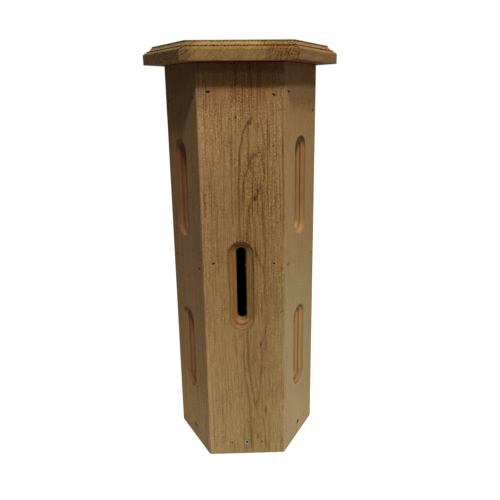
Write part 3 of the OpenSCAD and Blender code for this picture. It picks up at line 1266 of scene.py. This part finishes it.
@dataclass(frozen=True)
class RoofBoard:
    """The moulded roof board, with sizes in millimetres."""

    name: str = "roof_board"
    top: float = 476.5
    thickness: float = 19.5
    grain: float = 60.0

    def axes(self) -> BoardAxes:
        """Works out the board's directions: its grain runs slanting from front left to back right.

        Returns:
            The directions, from the middle of its top.
        """
        turn = math.radians(self.grain)
        along = Vector((math.cos(turn), math.sin(turn), 0.0))
        across = Vector((math.sin(turn), -math.cos(turn), 0.0))
        return BoardAxes(across, Vector((0.0, 0.0, -1.0)), along, Vector((0.0, 0.0, self.top)))

    def finish(self) -> WoodFinish:
        """Chooses the roof's finish: the moulding's bands go by how far they lie under the top.

        Returns:
            The finish.
        """
        return WoodFinish(
            seed=11,
            tones=((0.0, WHITE), (1.0, WHITE)),
            # Partly the wood's tone, partly painted light and shade: lighter near the top, darker on the bead
            # and the flat.
            bands=(
                (0.0, Tone(160, 128, 84)), (0.4, Tone(168, 134, 84)), (1.9, Tone(168, 134, 80)),
                (4.4, Tone(158, 124, 72)), (6.7, Tone(150, 115, 64)), (8.8, Tone(144, 110, 61)),
                (9.4, Tone(148, 115, 72)), (19.0, Tone(143, 111, 69)),
            ),
            sides=(
                (-110, Tone(212, 213, 205)), (1, Tone(214, 215, 207)), (8, Tone(252, 253, 255)),
                (30, Tone(244, 242, 238)), (54, Tone(255, 255, 252)), (66, Tone(240, 232, 222)),
                (90, Tone(236, 228, 218)), (96, Tone(235, 236, 240)),
            ),
            half_width=110.0,
            cut_tone=Tone(130, 98, 58),
            cut_depth=(40.0, 50.0),
            span=(-120.0, 120.0),
            rings=Rings(
                2.6, -30.0, 24.0, arch_middle=0.0, arch_length=300.0, wander=4.0,
                strength=0.35, strength_left=0.75,
            ),
            late_tone=Tone(150, 104, 80),
            fibre=0.3, streak=0.3, grit=1.1, pits=0.4, flecks=0.4, swirl=0.9,
            blotches=0.95, blotch_from=64.0,
            saw=(Saw(0, 0.05),),
            inner=90.0, under=self.thickness,
        )

    def build(self) -> None:
        """Dresses the roof board."""
        dress(self.name, Wood("roof_wood", self.axes(), self.finish()).paint.material)


@dataclass(frozen=True)
class FloorBoard:
    """The floor board between the panels, with sizes in millimetres."""

    name: str = "floor_board"
    top: float = 25.0

    def axes(self) -> BoardAxes:
        """Works out the board's directions: its grain runs from left to right.

        Returns:
            The directions, from the middle of its top.
        """
        return BoardAxes(
            Vector((0.0, -1.0, 0.0)), Vector((0.0, 0.0, -1.0)), Vector((1.0, 0.0, 0.0)),
            Vector((0.0, 0.0, self.top)),
        )

    def build(self) -> None:
        """Dresses the floor board."""
        finish = WoodFinish(
            tones=((0.0, Tone(148, 118, 78)), (1.0, Tone(152, 122, 84))),
            cut_tone=Tone(148, 118, 78),
            cut_depth=(30.0, 40.0),
            span=(-70.0, 70.0),
            seed=13,
            rings=Rings(4.0, -10.0, 36.0, arch_middle=20.0, strength=0.5),
            inner=90.0,
        )
        dress(self.name, Wood("floor_wood", self.axes(), finish).paint.material)


@dataclass(frozen=True)
class Fasteners:
    """The nails and the screws."""

    nails: SteelFinish = SteelFinish("nail_steel", Tone(42, 34, 28), Tone(24, 18, 14), 0.6, 0.7)
    screws: SteelFinish = SteelFinish(
        "screw_steel", Tone(176, 170, 156), Tone(120, 112, 100), 0.45, 0.8, recess_height=15.5,
    )

    def build(self) -> None:
        """Dresses the nails and the screws."""
        steel = self.nails.material()
        for name in ("corner_nails", "roof_nails", "floor_nails"):
            dress(name, steel)
        dress("floor_screws", self.screws.material())


@dataclass(frozen=True)
class Splinter:
    """A splinter's root on the front panel, its direction and its size, in millimetres and degrees."""

    across: float
    depth: float
    along: float
    turn: float
    lift: float
    length: float
    thick: float


@dataclass(frozen=True)
class LooseFibres:
    """Splinters in the front slot and tufts where nails tore the wood, in millimetres and degrees.

    A tuft is given by its place across and along the front panel and by its direction. The seeds are
    those of the slot's splinters, of the fibres' places in the tufts, and of the first tuft.
    """

    axes: BoardAxes
    in_slot: tuple[Splinter, ...] = (
        Splinter(2.7, 10.5, 237.4, 108.0, 2.0, 4.2, 1.1), Splinter(2.7, 9.6, 239.0, 118.0, 8.0, 2.8, 0.8),
        Splinter(2.7, 11.5, 229.6, 104.0, -4.0, 3.6, 0.8), Splinter(2.7, 10.0, 186.4, 118.0, 4.0, 2.8, 1.0),
        Splinter(2.7, 12.5, 182.8, 104.0, -6.0, 3.6, 0.8), Splinter(2.7, 9.2, 205.0, 100.0, 3.0, 3.0, 0.5),
    )
    tufts: tuple[tuple[float, float, float], ...] = (
        (-31.4, 428.6, 30.0), (35.4, 423.3, -28.0), (34.0, 243.0, -40.0),
    )
    fibres_each: int = 5
    rings: int = 7
    corners: int = 6
    taper: float = 1.6
    tip_size: float = 0.04
    flatness: float = 0.7
    most_bend: float = 0.10
    root_depth: float = 0.2
    tuft_depth: float = 0.35
    seeds: tuple[int, int, int] = (5, 17, 30)

    def _body(self, splinter: Splinter, rng: random.Random) -> tuple[list[Vector], list[tuple[int, ...]]]:
        """Shapes one bent, tapering splinter.

        Args:
            splinter: The splinter.
            rng: The source of its small chances.

        Returns:
            Its points in metres and its faces.
        """
        turn, lift = math.radians(splinter.turn), math.radians(splinter.lift)
        ahead = Vector((math.cos(turn) * math.cos(lift), -math.sin(lift), math.sin(turn) * math.cos(lift)))
        side = ahead.cross(Vector((0.0, 1.0, 0.0))).normalized()
        over = side.cross(ahead).normalized()
        root = Vector((splinter.across, splinter.depth, splinter.along))
        bend = rng.uniform(-self.most_bend, self.most_bend)
        points, rings, corners = [], self.rings, self.corners
        for ring in range(rings):
            share = ring / rings
            middle = root + ahead * (splinter.length * share)
            middle = middle + side * (bend * splinter.length * share * share)
            size = splinter.thick / 2 * (1.0 - share ** self.taper) + self.tip_size
            for corner in range(corners):
                angle = 2 * math.pi * corner / corners
                reach = size * rng.uniform(0.75, 1.15)
                aside, above = reach * math.cos(angle), reach * self.flatness * math.sin(angle)
                points.append(self.axes.point(*(middle + side * aside + over * above)))
        tip = root + ahead * splinter.length + side * (bend * splinter.length)
        points += [self.axes.point(*tip), self.axes.point(*(root - ahead * self.root_depth))]
        faces = []
        for ring in range(rings - 1):
            low, high = ring * corners, (ring + 1) * corners
            for here in range(corners):
                after = (here + 1) % corners
                faces.append((low + here, low + after, high + after, high + here))
        last, top, foot = (rings - 1) * corners, rings * corners, rings * corners + 1
        faces += [(last + c, last + (c + 1) % corners, top) for c in range(corners)]
        faces += [((c + 1) % corners, c, foot) for c in range(corners)]
        return points, faces

    def _piece(self, name: str, splinters: list[Splinter], seed: int, material: bpy.types.Material) -> None:
        """Makes one piece of several splinters.

        Args:
            name: The piece's name.
            splinters: The splinters that it holds.
            seed: The seed of its small chances.
            material: What it is dressed in.
        """
        rng, points, faces = random.Random(seed), [], []
        for splinter in splinters:
            more, sides = self._body(splinter, rng)
            faces += [tuple(i + len(points) for i in side) for side in sides]
            points += more
        mesh = bpy.data.meshes.new(name)
        mesh.from_pydata(points, [], faces)
        work = bmesh.new()
        work.from_mesh(mesh)
        bmesh.ops.recalc_face_normals(work, faces=work.faces)
        work.to_mesh(mesh)
        work.free()
        mesh.materials.append(material)
        piece = bpy.data.objects.new(name, mesh)
        bpy.context.scene.collection.objects.link(piece)
        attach(piece, ROOT)
        log.info("built %s from %d splinters", name, len(splinters))

    def build(self) -> None:
        """Builds and dresses the splinters and the tufts."""
        finish = WoodFinish(
            seed=21,
            tones=((0.0, Tone(176, 142, 92)), (1.0, Tone(172, 138, 90))), cut_tone=Tone(164, 124, 76),
            rings=Rings(3.6, 10.0, 16.0, strength=0.2), saw=(Saw(30, 0.05),), inner=60.0,
            pits=0.2, flecks=0.2, relief=0.08,
        )
        material = Wood("torn_wood", self.axes, finish).paint.material
        slot_seed, place_seed, tuft_seed = self.seeds
        self._piece("slot_splinters", list(self.in_slot), slot_seed, material)
        rng = random.Random(place_seed)
        for number, (across, along, turn) in enumerate(self.tufts):
            tuft = [
                Splinter(
                    across + rng.uniform(-1.0, 1.0), self.tuft_depth, along + rng.uniform(-0.8, 0.8),
                    turn + rng.uniform(-30, 30), rng.uniform(12, 26),
                    rng.uniform(1.6, 2.8), rng.uniform(0.3, 0.5),
                )
                for _ in range(self.fibres_each)
            ]
            self._piece(f"nail_tuft_{number + 1}", tuft, tuft_seed + number, material)


@dataclass(frozen=True)
class Lamp:
    """A far lamp: azimuth from the front to the right and height in degrees."""

    name: str
    azimuth: float
    height: float
    level: float
    spread: float = 6.0

    def build(self) -> None:
        """Hangs the lamp."""
        turn, rise = math.radians(self.azimuth), math.radians(self.height)
        towards = Vector((
            math.sin(turn) * math.cos(rise), -math.cos(turn) * math.cos(rise), math.sin(rise),
        ))
        light = bpy.data.lights.new(self.name, "SUN")
        light.energy = self.level * math.pi
        light.angle = math.radians(self.spread)
        lamp = bpy.data.objects.new(self.name, light)
        lamp.rotation_mode = "QUATERNION"
        lamp.rotation_quaternion = towards.to_track_quat("Z", "Y")
        bpy.context.scene.collection.objects.link(lamp)


@dataclass(frozen=True)
class Studio:
    """The pale floor, the white surroundings and the lamps, with sizes in metres."""

    lamps: tuple[Lamp, ...] = (
        Lamp("key_lamp", 8, 56, 0.74),
        Lamp("side_lamp", 45, 50, 0.43),
        Lamp("top_lamp", 20, 70, 0.19),
        Lamp("near_lamp", -8, 32, 0.026, 1.2),
        Lamp("near_lamp_right", 8, 32, 0.050, 1.2),
        Lamp("low_lamp", 60, 10, 0.076, 20.0),
        Lamp("back_left_lamp", -162, 35, 0.45, 12.0),
        Lamp("back_right_lamp", 162, 35, 0.45, 12.0),
    )
    surround: float = 0.01
    floor_radius: float = 8.0
    floor_corners: int = 96
    floor_gap: float = 0.0004
    floor_glow: float = 0.82
    floor_tone: Tone = Tone(250, 250, 250)
    table_edge: tuple[float, float] = (0.2, 0.62)
    table_tones: tuple[tuple[float, Tone], ...] = ((0.0, Tone(188, 188, 188)), (1.0, Tone(60, 60, 60)))

    def _seen(self, paint: Paint) -> Signal:
        """Tells the eye from the light.

        Args:
            paint: The material's node helper.

        Returns:
            1 for what the camera, a mirror or glass sees, and 0 for other light.
        """
        rays = paint.node("ShaderNodeLightPath")
        seen = Signal(paint, rays.outputs["Is Camera Ray"]) + Signal(paint, rays.outputs["Is Glossy Ray"])
        return (seen + Signal(paint, rays.outputs["Is Transmission Ray"])).span(0.0, 1.0)

    def _floor(self) -> None:
        """Lays the floor: white to the eye, and a pale table top to the light."""
        bpy.ops.mesh.primitive_circle_add(
            vertices=self.floor_corners, radius=self.floor_radius, fill_type="NGON",
        )
        floor = bpy.context.object
        floor.name = "studio_floor"
        floor.location.z = -self.floor_gap
        paint = Paint("studio_white")
        seen = self._seen(paint)
        where = paint.node("ShaderNodeTexCoord")
        right, back, _ = paint.parts(Signal(paint, where.outputs["Object"]))
        far = paint.math("SQRT", right * right + back * back)
        table = paint.ramp(far.span(*self.table_edge), list(self.table_tones))
        paint.put(paint.shader.inputs["Base Color"], paint.mix(seen, table, self.floor_tone.linear()))
        paint.shader.inputs["Roughness"].default_value = 1.0
        paint.shader.inputs["Specular IOR Level"].default_value = 0.0
        glow = paint.node("ShaderNodeEmission")
        both = paint.node("ShaderNodeMixShader")
        paint.put(both.inputs[0], seen * self.floor_glow)
        paint.tree.links.new(paint.shader.outputs[0], both.inputs[1])
        paint.tree.links.new(glow.outputs[0], both.inputs[2])
        paint.tree.links.new(both.outputs[0], paint.tree.nodes["Material Output"].inputs[0])
        floor.data.materials.append(paint.material)

    def _surround(self) -> None:
        """Makes the surroundings white to the eye and faint to the light."""
        world = bpy.data.worlds.new("studio")
        bpy.context.scene.world = world
        world.use_nodes = True
        tree = world.node_tree
        rays = tree.nodes.new("ShaderNodeLightPath")
        seen = rays.outputs["Is Camera Ray"]
        for ray in ("Is Glossy Ray", "Is Transmission Ray"):
            most = tree.nodes.new("ShaderNodeMath")
            most.operation = "MAXIMUM"
            tree.links.new(seen, most.inputs[0])
            tree.links.new(rays.outputs[ray], most.inputs[1])
            seen = most.outputs[0]
        level = tree.nodes.new("ShaderNodeMapRange")
        level.inputs["To Min"].default_value = self.surround
        tree.links.new(seen, level.inputs["Value"])
        back = tree.nodes["Background"]
        back.inputs["Color"].default_value = (1.0, 1.0, 1.0, 1.0)
        tree.links.new(level.outputs[0], back.inputs["Strength"])

    def build(self) -> None:
        """Lays the floor, makes the surroundings and hangs the lamps."""
        self._floor()
        self._surround()
        for lamp in self.lamps:
            lamp.build()
        bpy.context.scene.view_settings.view_transform = "Standard"


@dataclass(frozen=True)
class PhotoCamera:
    """The camera at the photograph's place.

    The side, the focal length and the middle are in the picture's pixels, the sensor and the place
    in millimetres, and the nearest distance that it sees in metres.
    """

    side: float = 500.0
    focal: float = 495.395
    middle: tuple[float, float] = (260.746, 218.099)
    sensor: float = 36.0
    nearest: float = 0.01
    place: Vector = field(default_factory=lambda: Vector((4.026, -585.549, 429.107)))
    right: Vector = field(default_factory=lambda: Vector((0.99945324, -0.03173338, -0.00928469)))
    up: Vector = field(default_factory=lambda: Vector((0.016927, 0.24986063, 0.96813384)))

    def build(self) -> None:
        """Sets the camera up."""
        lens = bpy.data.cameras.new("photo_camera")
        lens.sensor_width = self.sensor
        lens.lens = self.sensor * self.focal / self.side
        lens.shift_x = 0.5 - self.middle[0] / self.side
        lens.shift_y = self.middle[1] / self.side - 0.5
        lens.clip_start = self.nearest
        camera = bpy.data.objects.new("photo_camera", lens)
        turn = Matrix((self.right, self.up, self.right.cross(self.up))).transposed()
        camera.matrix_world = Matrix.Translation(self.place * MM) @ turn.to_4x4()
        bpy.context.scene.collection.objects.link(camera)
        bpy.context.scene.camera = camera


def main() -> None:
    """Builds the looks piece by piece."""
    logging.basicConfig(level=logging.INFO, format="%(name)s: %(message)s")
    PhotoCamera().build()
    Studio().build()
    PanelRing().build()
    RoofBoard().build()
    FloorBoard().build()
    Fasteners().build()
    LooseFibres(PanelRing().axes(Panel.FRONT)).build()


if __name__ == "__main__":
    main()
